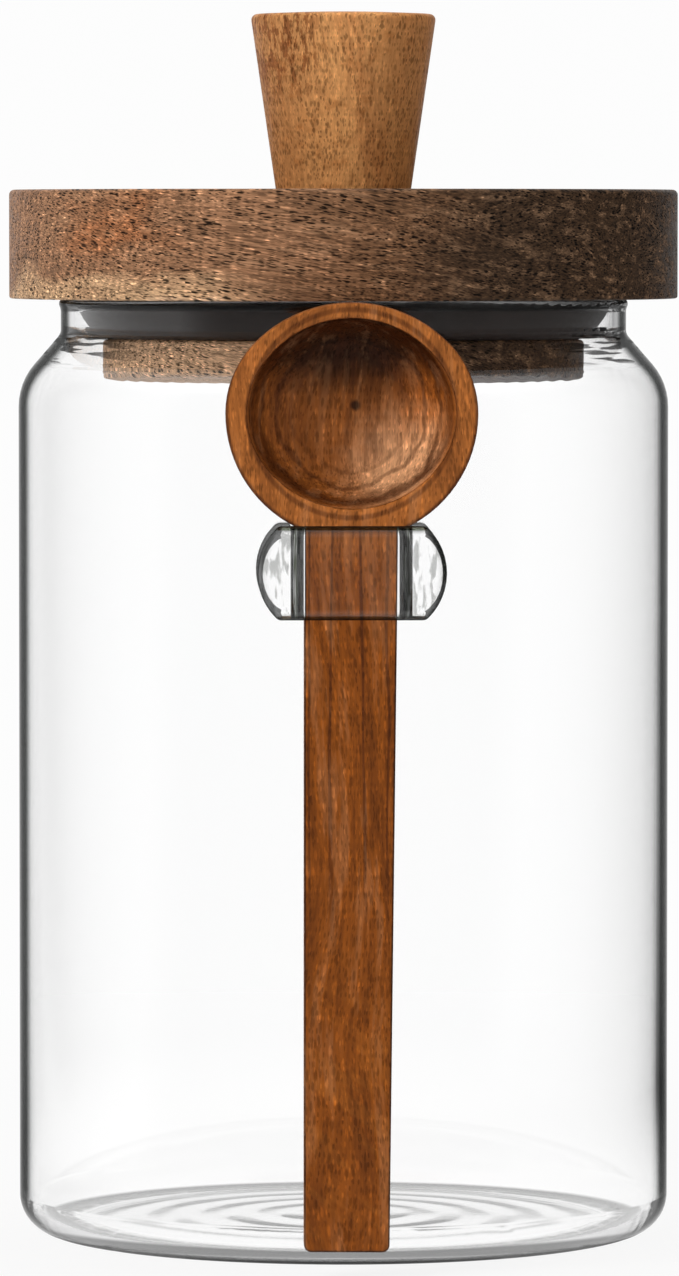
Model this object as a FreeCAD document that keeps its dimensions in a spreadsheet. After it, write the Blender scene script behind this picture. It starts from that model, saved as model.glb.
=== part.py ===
import FreeCAD, Part
import math
import os

import Sketcher

# Glass storage jar: a blown borosilicate jar with a glass loop welded to its front, a turned wooden lid
# with a silicone seal and a cone knob, and a wooden spoon that hangs in the loop. The frame's origin is the
# centre of the foot, +Z is up, and the loop and the spoon are on the -Y side. All lengths are millimetres.

SIZES = {
    # glass body
    "body_radius": 50.0,  # outside of the straight wall
    "glass_height": 143.9,  # foot to the top of the lip
    "wall": 1.55,
    "base_thickness": 1.8,
    "foot_round": 5.8,  # outer corner between the wall and the foot
    "foot_ring_radius": 41.0,  # where the foot's flat ring ends and the hollow starts
    "push_up": 1.2,  # how far the middle of the base is pushed up
    # shoulder, neck and lip
    "neck_radius": 43.5,
    "neck_wall": 2.1,
    "neck_height": 5.4,  # from the shoulder's top corner to the lip
    "shoulder_drop": 7.5,  # height of the slanted shoulder, corner to corner
    "shoulder_round": 10.0,
    "neck_round": 1.6,
    "lip_flare": 0.6,  # how far the lip stands out beyond the neck
    "lip_flare_height": 1.7,
    "lip_round": 0.8,
    # glass loop
    "loop_top": 111.2,
    "loop_height": 13.8,
    "loop_front": 3.4,  # thickness of the flat front
    "loop_leg_edge": 1.9,  # thickness of a leg at its top and bottom edge
    "loop_leg_crown": 5.0,  # thickness of a leg at the middle of its bulge
    "loop_corner_round": 1.2,  # where that bulge runs into the loop's top and bottom
    "loop_front_round": 2.2,  # edge all round the loop's front face
    "loop_bend": 2.5,  # inner radius of the loop's two bends
    "loop_edge_round": 0.6,  # inner edges of the loop
    "loop_root": 5.0,  # how far the slot is cut in past the wall's outside, which the wall then fills again
    "weld_round": 1.3,  # fillet of melted glass where the legs meet the wall
    # lid, turned in one piece with its plug
    "lid_overhang": 1.4,  # how far the lid stands out beyond the wall
    "lid_thickness": 16.7,
    "lid_round": 0.8,  # upper edge
    "lid_under_round": 0.4,
    "plug_clearance": 4.4,  # plug to the inside of the neck, where the seal leads in
    "plug_thickness": 4.9,
    "plug_round": 0.6,
    "groove_depth": 6.0,  # from the plug's side in to the core that the seal is stretched over
    # silicone seal
    "seal_height": 6.5,
    "seal_edge": 0.7,  # upright edge that meets the mouth
    "seal_foot": 5.0,  # how much narrower the seal is at its foot
    "seal_curve": 9.5,
    "seal_clearance": 0.25,  # free play of the seal in the mouth
    # knob
    "knob_height": 27.3,
    "knob_base_radius": 10.4,
    "knob_top_radius": 14.3,
    "knob_crown": 0.4,  # rise of the knob's slightly domed top
    "knob_round": 0.9,
    # spoon
    "bowl_radius": 18.55,
    "bowl_rise": 16.3,  # from the bowl's centre to its top edge
    "bowl_depth": 13.0,
    "bowl_floor": 2.6,  # wood left behind the deepest point of the cavity
    "bowl_flank": 2.0,  # upright part of the bowl's outside, before its back rounds away
    "bowl_side_radius": 14.6,  # radius of the bowl outline at its two sides
    "cavity_width": 30.7,
    "cavity_height": 27.9,
    "cavity_flank": 2.7,  # upright part of the cavity's side, before it rounds into its floor
    "cavity_side_radius": 12.4,
    "handle_reach": 123.5,  # from the bowl's centre to the end of the handle
    "handle_neck_width": 13.8,
    "handle_tip_width": 12.6,
    "handle_thickness": 5.5,
    "handle_tip_round": 1.1,
    "spoon_edge_round": 0.5,
    "spoon_lean": 0.35,  # degrees that the spoon hangs to one side
    # clearances of the hanging spoon
    "handle_play": 2.0,  # handle to each of the loop's legs
    "spoon_wall_gap": 0.3,  # bowl's back to the glass wall
    "spoon_front_gap": 0.5,  # spoon's flat face to the inside of the loop's front
    "spoon_seat_gap": 0.15,  # bowl's underside to the loop's legs
}

CLOSE = 0.01  # points and planes nearer to each other than this count as one

doc = FreeCAD.newDocument("StorageJar")
sheet = doc.addObject("Spreadsheet::Sheet", "Sizes")
for row, (alias, number) in enumerate(SIZES.items(), start=1):
    sheet.set(f"A{row}", alias)
    sheet.set(f"B{row}", str(number))
    sheet.setAlias(f"B{row}", alias)
doc.recompute()


class Size:
    """A length that carries both its number and the sheet formula it comes from."""

    def __init__(self, number, formula=None):
        self.number = float(number)
        self.formula = formula or repr(float(number))

    @staticmethod
    def of(value):
        return value if isinstance(value, Size) else Size(value)

    def __add__(self, other):
        other = Size.of(other)
        return Size(self.number + other.number, f"({self.formula} + {other.formula})")

    def __sub__(self, other):
        other = Size.of(other)
        return Size(self.number - other.number, f"({self.formula} - {other.formula})")

    def __mul__(self, other):
        other = Size.of(other)
        return Size(self.number * other.number, f"({self.formula} * {other.formula})")

    def __truediv__(self, other):
        other = Size.of(other)
        return Size(self.number / other.number, f"({self.formula} / {other.formula})")

    def __neg__(self):
        return Size(-self.number, f"(0 - {self.formula})")

    def root(self):
        return Size(math.sqrt(self.number), f"sqrt({self.formula})")


def size(alias):
    """The named value of the sheet."""
    return Size(sheet.get(alias), f"Sizes.{alias}")


class Corner:
    """A corner of an outline, rounded by `rounding`, or followed by an arc of radius `bend`.

    A positive bend bulges to the right of the way the outline runs, a negative one to its left.
    """

    def __init__(self, across, up, rounding=None, bend=None):
        self.across = Size.of(across)
        self.up = Size.of(up)
        self.rounding = rounding and Size.of(rounding)
        self.bend = bend and Size.of(bend)
        self.point = FreeCAD.Vector(self.across.number, self.up.number, 0)


def unit(vector):
    return FreeCAD.Vector(vector).normalize()


def rounded(before, corner, after):
    """Where the rounding of a corner starts and ends, and its middle."""
    back = unit(before.point - corner.point)
    onward = unit(after.point - corner.point)
    half_angle = back.getAngle(onward) / 2
    radius = corner.rounding.number
    reach = radius / math.tan(half_angle)
    centre = corner.point + unit(back + onward) * (radius / math.sin(half_angle))
    middle = centre - unit(back + onward) * radius
    return corner.point + back * reach, middle, corner.point + onward * reach


def bent(start, end, bend):
    """The middle point of an arc of radius `bend` from start to end."""
    chord = end - start
    side = FreeCAD.Vector(chord.y, -chord.x, 0).normalize()
    rise = abs(bend) - math.sqrt(bend**2 - (chord.Length / 2) ** 2)
    return (start + end) / 2 + side * math.copysign(rise, bend)


def which_end(sketch, line, point):
    """The number of the end of a sketch's line that lies at a point."""
    return min((1, 2), key=lambda end: sketch.getPoint(line, end).distanceToPoint(point))


def constrain(sketch, kind, *values, formula=None):
    """Adds a constraint and, where it has a size, ties that size to the sheet."""
    index = sketch.addConstraint(Sketcher.Constraint(kind, *values))
    if formula:
        sketch.setExpression(f"Constraints[{index}]", formula)


def fix_place(sketch, line, end, corner):
    """Holds a point of a sketch at a corner's place."""
    for kind, value, axis in (("DistanceX", corner.across, -2), ("DistanceY", corner.up, -1)):
        if value.number == 0:
            constrain(sketch, "PointOnObject", line, end, axis)
        else:
            constrain(sketch, kind, -1, 1, line, end, value.number, formula=value.formula)


def draw(sketch, corners):
    """Draws a closed outline through the corners and ties it to the sheet."""
    around = list(zip([corners[-1]] + corners[:-1], corners, corners[1:] + [corners[0]]))
    starts, ends, middles = [], [], []
    for before, corner, after in around:
        start, middle, end = (corner.point,) * 3
        if corner.rounding:
            start, middle, end = rounded(before, corner, after)
        starts.append(start)
        middles.append(middle)
        ends.append(end)
    lines = []
    for index, corner in enumerate(corners):
        start = ends[index]
        end = starts[(index + 1) % len(corners)]
        shape = Part.LineSegment(start, end)
        if corner.bend:
            shape = Part.Arc(start, bent(start, end, corner.bend.number), end)
        lines.append(sketch.addGeometry(shape, False))
        if corner.bend:
            constrain(sketch, "Radius", lines[-1], abs(corner.bend.number), formula=f"abs({corner.bend.formula})")
    for index, corner in enumerate(corners):
        before, after = lines[index - 1], lines[index]
        if not corner.rounding:
            before_end = which_end(sketch, before, corner.point)
            after_end = which_end(sketch, after, corner.point)
            constrain(sketch, "Coincident", before, before_end, after, after_end)
            fix_place(sketch, after, after_end, corner)
            continue
        arc = sketch.addGeometry(Part.Arc(starts[index], middles[index], ends[index]), False)
        mark = sketch.addGeometry(Part.Point(corner.point), True)
        constrain(sketch, "PointOnObject", mark, 1, before)
        constrain(sketch, "PointOnObject", mark, 1, after)
        for line, point in ((before, starts[index]), (after, ends[index])):
            line_end = which_end(sketch, line, point)
            constrain(sketch, "Tangent", line, line_end, arc, which_end(sketch, arc, point))
        constrain(sketch, "Radius", arc, corner.rounding.number, formula=corner.rounding.formula)
        fix_place(sketch, mark, 1, corner)


def new_sketch(body, name, plane, corners):
    """A sketch on one of the body's own origin planes."""
    sketch = body.newObject("Sketcher::SketchObject", name)
    origin_plane = next(each for each in body.Origin.OriginFeatures if each.Role == plane)
    sketch.AttachmentSupport = [(origin_plane, "")]
    sketch.MapMode = "FlatFace"
    draw(sketch, corners)
    return sketch


def new_body(label):
    body = doc.addObject("PartDesign::Body", label)
    body.Label = label
    return body


def turn(body, kind, name, corners):
    """Turns an outline of (radius, height) corners about the Z axis, to add or to cut."""
    sketch = new_sketch(body, name + "Outline", "XZ_Plane", corners)
    turned = body.newObject(f"PartDesign::{kind}", name)
    turned.Profile = sketch
    turned.ReferenceAxis = (sketch, ["V_Axis"])
    turned.Angle = 360
    doc.recompute()
    return turned


def edges_where(feature, test):
    """The names of a feature's edges whose middle point passes the test."""
    names = []
    for index, edge in enumerate(feature.Shape.Edges, start=1):
        middle = edge.valueAt((edge.FirstParameter + edge.LastParameter) / 2)
        if test(edge, middle):
            names.append(f"Edge{index}")
    return names


def fillet(body, name, feature, test, radius):
    """Rounds the edges of a feature that pass the test."""
    names = edges_where(feature, test)
    if not names:
        raise RuntimeError(f"{name} found no edge")
    rounding = body.newObject("PartDesign::Fillet", name)
    rounding.Base = (feature, names)
    rounding.Radius = radius.number
    rounding.setExpression("Radius", radius.formula)
    doc.recompute()
    if rounding.Shape.isNull() or not rounding.Shape.isValid():
        raise RuntimeError(f"{name} can't be rounded")
    return rounding


def circle_at(radius, height):
    """A test for a turned edge of one radius and height about the Z axis."""

    def test(edge, middle):
        reach = math.hypot(middle.x, middle.y)
        return abs(reach - radius.number) < CLOSE and abs(middle.z - height.number) < CLOSE

    return test


def facing(distance):
    """A test for the edges that lie in an upright plane, a distance from the XZ plane."""

    def test(edge, middle):
        return abs(abs(middle.y) - distance.number) < CLOSE

    return test


def pad(body, name, plane, corners, length, reverse=False):
    """Pads an outline to a length."""
    padded = body.newObject("PartDesign::Pad", name)
    padded.Profile = new_sketch(body, name + "Outline", plane, corners)
    padded.Length = length.number
    padded.setExpression("Length", length.formula)
    padded.Reversed = reverse
    doc.recompute()
    return padded


def pocket(body, name, base, plane, corners, depth=None, reverse=True):
    """Cuts an outline into a feature, right through or to a depth, and makes sure that it cuts."""
    cut = body.newObject("PartDesign::Pocket", name)
    cut.Profile = new_sketch(body, name + "Outline", plane, corners)
    cut.Reversed = reverse
    if depth:
        cut.Length = depth.number
        cut.setExpression("Length", depth.formula)
    else:
        cut.Type = "ThroughAll"
    doc.recompute()
    if cut.Shape.Volume > base.Shape.Volume - CLOSE:
        raise RuntimeError(f"{name} cuts nothing")
    return cut


def place(body, out=Size(0), up=Size(0)):
    """Moves a finished body to its place: a distance out along -Y and a height up Z."""
    for axis, value in (("y", -out), ("z", up)):
        body.setExpression(f"Placement.Base.{axis}", value.formula)


# ---- jar: wall, shoulder, neck, lip and the welded loop, all one piece of glass ----


def spoon_face():
    """The distance from the jar's axis to the spoon's flat face, with the bowl's back against the wall."""
    return size("body_radius") + size("spoon_wall_gap") + size("bowl_depth")


def loop_inside():
    """The distance from the jar's axis to the inside of the loop's front."""
    return spoon_face() + size("spoon_front_gap")


def loop_half_gap():
    """Half the free width between the loop's legs, which the handle passes."""
    return size("handle_neck_width") / 2 + size("handle_play")


def throat_radius():
    """The inside radius of the neck, which the seal fits."""
    return size("neck_radius") - size("neck_wall")


def plug_radius():
    """The radius of the lid's plug."""
    return throat_radius() - size("plug_clearance")


def groove_radius():
    """The radius of the core in the lid's groove, which carries the seal."""
    return plug_radius() - size("groove_depth")


def hollow_radius():
    """The radius of the shallow hollow under the base."""
    foot, push_up = size("foot_ring_radius"), size("push_up")
    return (foot * foot + push_up * push_up) / (push_up * 2)


def outside_outline():
    """The outside of the glass, from the middle of the base up to the lip."""
    top = size("glass_height")
    neck_corner = top - size("neck_height")
    return [
        Corner(0, size("push_up"), bend=-hollow_radius()),
        Corner(size("foot_ring_radius"), 0),
        Corner(size("body_radius"), 0, rounding=size("foot_round")),
        Corner(size("body_radius"), neck_corner - size("shoulder_drop"), rounding=size("shoulder_round")),
        Corner(size("neck_radius"), neck_corner, rounding=size("neck_round")),
        Corner(size("neck_radius"), top - size("lip_flare_height"), rounding=size("lip_flare_height")),
        Corner(size("neck_radius") + size("lip_flare"), top),
        Corner(0, top),
    ]


def inside_outline():
    """The inside of the glass. The shoulder keeps the wall's thickness, and the neck is thicker."""
    wall, floor, top = size("wall"), size("base_thickness"), size("glass_height")
    inner_radius, throat = size("body_radius") - wall, throat_radius()
    run, drop = size("body_radius") - size("neck_radius"), size("shoulder_drop")
    half_turn = ((run * run + drop * drop).root() - drop) / run
    shoulder_corner = top - size("neck_height") - drop - wall * half_turn
    neck_corner = shoulder_corner + (inner_radius - throat) * drop / run
    mouth, above = throat + size("lip_flare"), top + size("neck_wall")
    return [
        Corner(0, size("push_up") + floor, bend=-hollow_radius()),
        Corner(size("foot_ring_radius"), floor),
        Corner(inner_radius, floor, rounding=size("foot_round") - wall),
        Corner(inner_radius, shoulder_corner, rounding=size("shoulder_round") - wall),
        Corner(throat, neck_corner, rounding=size("neck_round") + wall),
        Corner(throat, top - size("lip_flare_height"), rounding=size("lip_flare_height")),
        Corner(mouth, top),
        Corner(mouth, above),
        Corner(0, above),
    ]


def make_loop(body):
    """The loop: a block with bulged sides that reaches into the wall, softened, with a slot for the handle."""
    top, height = size("loop_top"), size("loop_height")
    half_gap, inside = loop_half_gap(), loop_inside()
    front = inside + size("loop_front")
    edge = half_gap + size("loop_leg_edge")
    rise = size("loop_leg_crown") - size("loop_leg_edge")
    bulge = (height * height / 4 + rise * rise) / (rise * 2)
    outline = [
        Corner(edge, top - height, bend=bulge),
        Corner(edge, top),
        Corner(-edge, top, bend=bulge),
        Corner(-edge, top - height),
    ]
    block = pad(body, "LoopBlock", "XZ_Plane", outline, front)

    def long_edge(edge_of_block, middle):
        return abs(middle.y + front.number / 2) < CLOSE

    block = fillet(body, "LoopCornerRound", block, long_edge, size("loop_corner_round"))
    block = fillet(body, "LoopFrontRound", block, facing(front), size("loop_front_round"))
    root = size("body_radius") - size("loop_root")
    slot = [
        Corner(-half_gap, -inside, rounding=size("loop_bend")),
        Corner(half_gap, -inside, rounding=size("loop_bend")),
        Corner(half_gap, -root),
        Corner(-half_gap, -root),
    ]
    slotted = pocket(body, "LoopSlot", block, "XY_Plane", slot)

    def slot_edge(edge, middle):
        level = min(abs(middle.z - top.number), abs(middle.z - (top - height).number)) < CLOSE
        within = abs(middle.x) < half_gap.number + CLOSE
        return level and within and root.number + CLOSE < -middle.y < inside.number + CLOSE

    return fillet(body, "LoopSlotRound", slotted, slot_edge, size("loop_edge_round"))


def at_weld(edge, middle):
    """True for the edges where the loop's legs meet the round wall."""
    radius, height = size("body_radius").number, size("loop_height").number
    on_wall = abs(math.hypot(middle.x, middle.y) - radius) < CLOSE
    beside_loop = abs(middle.z - size("loop_top").number + height / 2) < height
    return on_wall and beside_loop and middle.y < 0 and edge.Length < radius


def make_jar():
    """The loop first, then the solid outside of the glass, then the hollow, which also trims the loop."""
    body = new_body("jar")
    make_loop(body)
    solid = turn(body, "Revolution", "GlassOutside", outside_outline())
    fillet(body, "LoopWeld", solid, at_weld, size("weld_round"))
    hollow = turn(body, "Groove", "GlassInside", inside_outline())
    top, mouth = size("glass_height"), throat_radius() + size("lip_flare")
    inner, outer = circle_at(mouth, top), circle_at(mouth + size("neck_wall"), top)
    fillet(body, "LipRound", hollow, lambda *edge: inner(*edge) or outer(*edge), size("lip_round"))
    return body


# ---- lid: a disc and a plug turned from one piece of wood, with a groove between them for the seal ----


def make_lid():
    body = new_body("lid")
    depth, rim = size("seal_height"), size("body_radius") + size("lid_overhang")
    corners = [
        Corner(0, -(depth + size("plug_thickness"))),
        Corner(plug_radius(), -(depth + size("plug_thickness")), rounding=size("plug_round")),
        Corner(plug_radius(), -depth, rounding=size("plug_round")),
        Corner(groove_radius(), -depth),
        Corner(groove_radius(), 0),
        Corner(rim, 0, rounding=size("lid_under_round")),
        Corner(rim, size("lid_thickness"), rounding=size("lid_round")),
        Corner(0, size("lid_thickness")),
    ]
    turn(body, "Revolution", "LidTurned", corners)
    place(body, up=size("glass_height"))
    return body


# ---- seal: a silicone ring stretched into the groove, with a rounded taper that leads into the mouth ----


def make_seal():
    body = new_body("seal")
    outer = throat_radius() - size("seal_clearance")
    corners = [
        Corner(groove_radius(), -size("seal_height")),
        Corner(outer - size("seal_foot"), -size("seal_height"), bend=size("seal_curve")),
        Corner(outer, -size("seal_edge")),
        Corner(outer, 0),
        Corner(groove_radius(), 0),
    ]
    turn(body, "Revolution", "SealRing", corners)
    place(body, up=size("glass_height"))
    return body


# ---- knob: an upside-down cone with a slightly domed top, which stands on the lid ----


def make_knob():
    body = new_body("knob")
    top, rise = size("knob_top_radius"), size("knob_crown")
    corners = [
        Corner(0, 0),
        Corner(size("knob_base_radius"), 0),
        Corner(top, size("knob_height") - rise, bend=(top * top + rise * rise) / (rise * 2)),
        Corner(0, size("knob_height")),
    ]
    cone = turn(body, "Revolution", "KnobTurned", corners)
    rim = circle_at(top, size("knob_height") - rise)
    fillet(body, "KnobRound", cone, rim, size("knob_round"))
    place(body, up=size("glass_height") + size("lid_thickness"))
    return body


# ---- spoon: flat face forward, with a deep round bowl and a tapering flat handle, cut from one board ----


def oval(half_width, rise, side):
    """The radius of the arc over the top of an oval that starts upright at its sides with radius `side`."""
    inset = half_width - side
    return (inset * inset + rise * rise - side * side) / ((rise - side) * 2)


def oval_corners(half_width, rise, side, both_ways):
    """The corners of an oval of arcs, or of its upper half, from its right side round to its left."""
    top = oval(half_width, rise, side)
    share = top / (top - side)
    across = (half_width - side) * share
    up = (top - rise) * (share - 1)
    upper = [
        Corner(half_width, 0, bend=side),
        Corner(across, up, bend=top),
        Corner(-across, up, bend=side),
    ]
    if not both_ways:
        return upper
    lower = [
        Corner(-half_width, 0, bend=side),
        Corner(-across, -up, bend=top),
        Corner(across, -up, bend=side),
    ]
    return upper + lower


def make_spoon():
    """The spoon in its own frame: the bowl's centre is the origin, and the flat face looks along -Y."""
    body = new_body("spoon")
    radius, depth, thick = size("bowl_radius"), size("bowl_depth"), size("handle_thickness")
    head = oval_corners(radius, size("bowl_rise"), size("bowl_side_radius"), False)
    head.append(Corner(-radius, 0, bend=radius))
    head.append(Corner(0, -radius, bend=radius))
    block = pad(body, "BowlBlock", "XZ_Plane", head, depth, reverse=True)

    cavity_rise = size("cavity_height") / 2
    hollow = oval_corners(size("cavity_width") / 2, cavity_rise, size("cavity_side_radius"), True)
    cavity_depth = depth - size("bowl_floor")
    cut = pocket(body, "Cavity", block, "XZ_Plane", hollow, depth=cavity_depth, reverse=False)
    scooped = fillet(body, "CavityRound", cut, facing(cavity_depth), cavity_depth - size("cavity_flank"))
    fillet(body, "BowlBack", scooped, facing(depth), depth - size("bowl_flank"))

    start = (cavity_rise + radius) / 2
    neck, tip, reach = size("handle_neck_width") / 2, size("handle_tip_width") / 2, size("handle_reach")
    handle = [
        Corner(-neck, -start),
        Corner(-tip, -reach, rounding=size("handle_tip_round")),
        Corner(tip, -reach, rounding=size("handle_tip_round")),
        Corner(neck, -start),
    ]
    joined = pad(body, "Handle", "XZ_Plane", handle, thick, reverse=True)

    def outer_edge(edge, middle):
        in_front = abs(middle.y) < CLOSE
        behind_handle = abs(middle.y - thick.number) < CLOSE and middle.z < -radius.number
        return in_front or behind_handle

    fillet(body, "SpoonEdges", joined, outer_edge, size("spoon_edge_round"))
    half_gap = loop_half_gap()
    seat = size("loop_top") + (radius * radius - half_gap * half_gap).root() + size("spoon_seat_gap")
    lean = size("spoon_lean")
    body.Placement.Rotation = FreeCAD.Rotation(FreeCAD.Vector(0, 1, 0), lean.number)
    body.setExpression("Placement.Rotation.Angle", lean.formula)
    place(body, out=spoon_face(), up=seat)
    return body


# ---- build, check and write ----

nodes = [make_jar(), make_lid(), make_seal(), make_knob(), make_spoon()]
doc.recompute()
for thing in doc.Objects:
    if {"Invalid", "Error"} & set(thing.State):
        raise RuntimeError(f"{thing.Label} failed: {thing.State}")
os.makedirs("parts", exist_ok=True)
for node in nodes:
    if node.Shape.isNull() or not node.Shape.isValid() or len(node.Shape.Solids) != 1:
        raise RuntimeError(f"{node.Label} is not one valid solid")
for node in nodes:
    node.Shape.exportStep(f"parts/{node.Label}.step")
    print(node.Label, round(node.Shape.Volume), "mm3")
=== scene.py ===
import math

import bmesh
import bpy
from bpy.props import FloatProperty, FloatVectorProperty, IntProperty, PointerProperty
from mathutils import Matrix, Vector


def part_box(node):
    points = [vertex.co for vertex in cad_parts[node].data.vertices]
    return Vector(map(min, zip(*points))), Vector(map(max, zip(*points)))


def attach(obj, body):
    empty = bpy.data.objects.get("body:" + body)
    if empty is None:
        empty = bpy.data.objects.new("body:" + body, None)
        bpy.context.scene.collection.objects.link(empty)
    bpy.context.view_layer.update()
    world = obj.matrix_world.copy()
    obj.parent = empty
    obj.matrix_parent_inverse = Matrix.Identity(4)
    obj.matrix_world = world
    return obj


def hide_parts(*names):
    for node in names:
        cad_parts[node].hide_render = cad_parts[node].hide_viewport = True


# Dresses a glass storage jar: clear glass with a loop on its front, a turned wooden lid with a cone knob and
# a silicone seal, and a wooden spoon that hangs in the loop. Lengths in the code are metres, and the wood
# patterns are laid out in millimetres.

bl_info = {
    "name": "Glass Storage Jar",
    "version": (1, 0, 0),
    "blender": (4, 5, 0),
    "location": "3D View > Sidebar > Jar",
    "description": "Glass, wood and silicone for a storage jar with a spoon, on a plain studio floor",
    "category": "Object",
}

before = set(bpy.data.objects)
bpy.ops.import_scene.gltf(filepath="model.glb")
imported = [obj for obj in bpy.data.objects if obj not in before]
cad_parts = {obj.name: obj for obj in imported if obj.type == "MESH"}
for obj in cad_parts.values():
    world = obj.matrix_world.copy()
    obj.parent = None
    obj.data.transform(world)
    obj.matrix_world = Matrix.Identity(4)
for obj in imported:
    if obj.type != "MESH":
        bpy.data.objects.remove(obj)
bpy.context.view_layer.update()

MM = 0.001
PER_MM = 1 / MM

# the darkest wood, also used for painted shade on the spoon, and the painted dark of the glass's edges, in linear
# values
DARKEST_WOOD_AND_SHADE = (0.012, 0.004, 0.0015)
PAINTED_GLASS_DARK = (0.004, 0.0045, 0.0042)

# strength of the white that the floor and the walls show, and of that behind glass, which takes some away
SEEN_WHITE = 0.98
WHITE_BEHIND_GLASS = 1.12

# the lamps face the middle of the jar
LAMP_TARGET = Vector((0.0, 0.0, 0.1))

# the knob's outline is this much wider at the rim, and the rounding takes it off again
RIM_SPARE = 0.12 * MM

# the lid's disc hangs this much clear of the glass lip, so the two surfaces never share a plane
LIP_GAP = 0.03 * MM


def display(red, green, blue):
    """A colour as a screen shows it, 0 to 255 each, turned into the linear values that shaders use."""
    return tuple(((part / 255 + 0.055) / 1.055) ** 2.4 for part in (red, green, blue))


# ---------------------------------------------------------------- settings


def colour_setting(name, description, red, green, blue):
    return FloatVectorProperty(
        name=name,
        description=description,
        default=display(red, green, blue),
        min=0.0,
        max=1.0,
        size=3,
        subtype="COLOR",
    )


def length_setting(name, description, millimetres):
    return FloatProperty(
        name=name, description=description, default=millimetres * MM, min=0.0, unit="LENGTH", precision=4
    )


class JarGlassSettings(bpy.types.PropertyGroup):
    tint: colour_setting("Tint", "Colour that light takes on in the glass", 254, 254, 254)
    # painted shade: these tints and the ink's share paint the wall dark where the eye looks along it and paint dark
    # streaks in the loop, in place of the glass's dark refraction
    painted_edge_tint: colour_setting("Edge Tint", "Colour of the glass where the eye looks along its wall", 90, 94, 92)
    painted_loop_tint: colour_setting("Loop Tint", "Colour deep in the solid glass of the loop", 44, 50, 38)
    ior: FloatProperty(name="IOR", description="Index of refraction of borosilicate glass", default=1.47, min=1.0)
    painted_edge_dark: FloatProperty(
        name="Edge Ink",
        description="Share of light lost where the eye looks along the wall",
        default=0.85,
        subtype="FACTOR",
    )
    shadow_tint: FloatProperty(
        name="Shadow Light",
        description="Share of the light that passes one surface of the glass in its shadow",
        default=0.965,
        min=0.0,
        max=1.0,
        subtype="FACTOR",
    )


class JarLidSettings(bpy.types.PropertyGroup):
    disc_thickness: length_setting("Disc Thickness", "Height of the lid's disc", 16.7)
    plug_radius: length_setting("Plug Radius", "Radius of the plug under the disc", 37.0)
    plug_thickness: length_setting("Plug Thickness", "Height of the plug below the seal", 4.9)
    groove_radius: length_setting("Groove Radius", "Radius of the core that carries the seal", 31.0)
    edge_round: length_setting("Edge Round", "Rounding of the disc's upper edge", 0.8)
    segments: IntProperty(name="Segments", description="Faces round each turned piece", default=192, min=24)
    pale: colour_setting("Pale Wood", "Sapwood on the lid's left", 172, 134, 102)
    tan: colour_setting("Tan Wood", "Main colour of the lid's left half", 146, 106, 77)
    orange: colour_setting("Orange Wood", "Warm patch in the tan wood", 156, 94, 54)
    brown: colour_setting("Brown Wood", "Colour of the lid's middle", 114, 81, 56)
    # painted light: this colour lifts the plug's left out of the disc's shade
    plug_painted_light: colour_setting("Plug Wood", "Bare wood on the plug's left", 206, 168, 134)
    dark: colour_setting("Dark Wood", "Heartwood on the lid's right", 62, 45, 31)
    sap: colour_setting("Sap Strip", "Cream strip low on the lid's left", 194, 158, 120)


class JarKnobSettings(bpy.types.PropertyGroup):
    base_radius: length_setting("Base Radius", "Radius of the knob where it stands on the lid", 10.4)
    edge_round: length_setting("Edge Round", "Rounding of the knob's upper rim", 0.9)
    crown: length_setting("Crown", "Rise of the knob's domed top", 0.4)
    pale: colour_setting("Pale Wood", "Golden wood on the knob's left", 188, 132, 80)
    middle: colour_setting("Middle Wood", "Main colour of the knob", 226, 164, 102)
    # the red also paints shade on the knob's right side
    red: colour_setting("Red Wood", "Redder wood on the knob's right", 146, 84, 34)
    streak: colour_setting("Streak", "Leaning streak right of the middle", 138, 66, 22)
    fleck: colour_setting("Flecks", "Dark flecks high on the left", 112, 54, 20)


class JarSpoonSettings(bpy.types.PropertyGroup):
    # the pale colour also paints the highlight low in the bowl's hollow, and the warm colour paints light on its right
    # side
    pale: colour_setting("Pale Wood", "Lightest wood of the spoon", 224, 168, 122)
    middle: colour_setting("Middle Wood", "Main colour of the spoon", 160, 94, 42)
    handle: colour_setting("Handle Wood", "Redder wood of the handle", 130, 68, 17)
    dark: colour_setting("Dark Wood", "Darkest grain of the spoon", 72, 34, 12)
    warm_wood_and_painted_light: colour_setting("Warm Wood", "Orange side of the bowl's hollow", 190, 106, 38)
    flame: colour_setting("Flame", "Pale flame low on the handle", 176, 108, 44)
    bowl_rise: length_setting("Bowl Rise", "Height of the bowl's top above its centre", 16.3)
    cavity_radius: length_setting("Cavity Radius", "Half the width of the bowl's hollow", 15.35)
    cavity_depth: length_setting("Cavity Depth", "Depth of the bowl's hollow", 10.4)


class JarSealSettings(bpy.types.PropertyGroup):
    edge: length_setting("Edge", "Upright edge that meets the mouth", 0.7)
    foot: length_setting("Foot", "How much narrower the seal is at its foot", 5.0)
    curve: length_setting("Curve", "Radius of the seal's rounded taper", 9.5)
    colour: colour_setting("Silicone", "Colour of the silicone", 40, 32, 29)
    dust: colour_setting("Dust", "Colour of the dust on the silicone", 84, 75, 72)


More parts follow.
